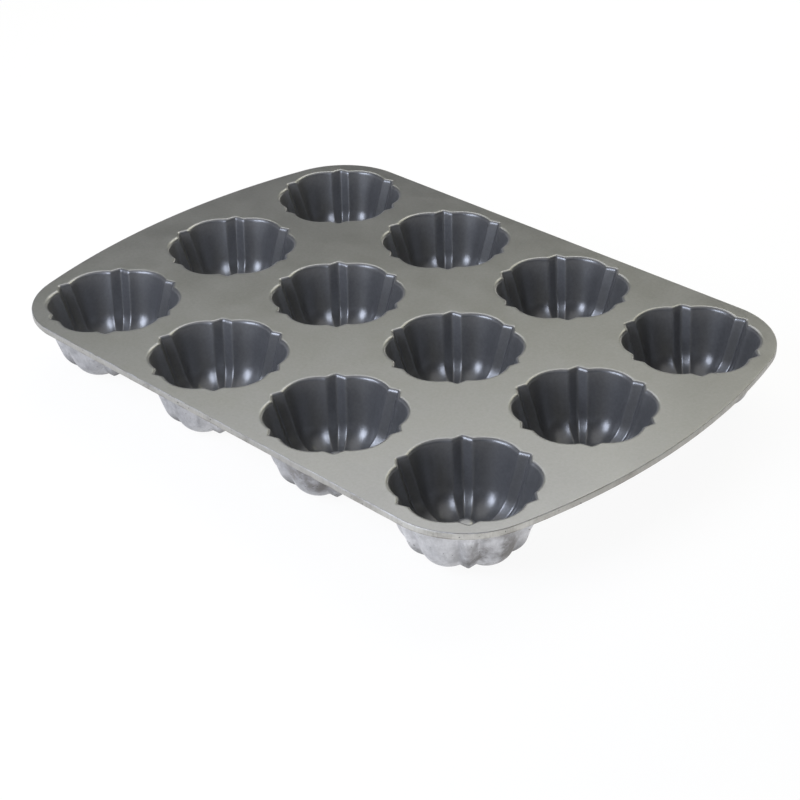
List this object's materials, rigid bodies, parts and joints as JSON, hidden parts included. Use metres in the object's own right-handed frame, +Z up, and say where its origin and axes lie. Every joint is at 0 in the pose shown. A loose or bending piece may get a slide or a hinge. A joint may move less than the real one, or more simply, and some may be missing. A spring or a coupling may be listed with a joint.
{
  "type": "fluted muffin pan",
  "caption": "Cast metal baking pan: a flat coated deck carries fluted cups with round lobes, V grooves, rolled floors and a low hollow boss in the middle of each.",
  "frame": {"origin": "on the surface the pan stands on, under the middle of the deck", "axes": "+X along the long side, +Y along the short side, +Z up out of the cups"},
  "size_m": [0.3844, 0.27, 0.038],
  "materials": {
    "deck": "cast aluminium, semi-gloss grey non-stick coating on top, bare edge band",
    "cup": "bare cast aluminium outside with baked-on stains, dark grey semi-gloss coating inside"
  },
  "bodies": {
    "root": {"deck": "deck", "cup_a1": "cup", "cup_a2": "cup", "cup_a3": "cup", "cup_b1": "cup", "cup_b2": "cup", "cup_b3": "cup", "cup_c1": "cup", "cup_c2": "cup", "cup_c3": "cup", "cup_d1": "cup", "cup_d2": "cup", "cup_d3": "cup"}
  },
  "joints": []
}
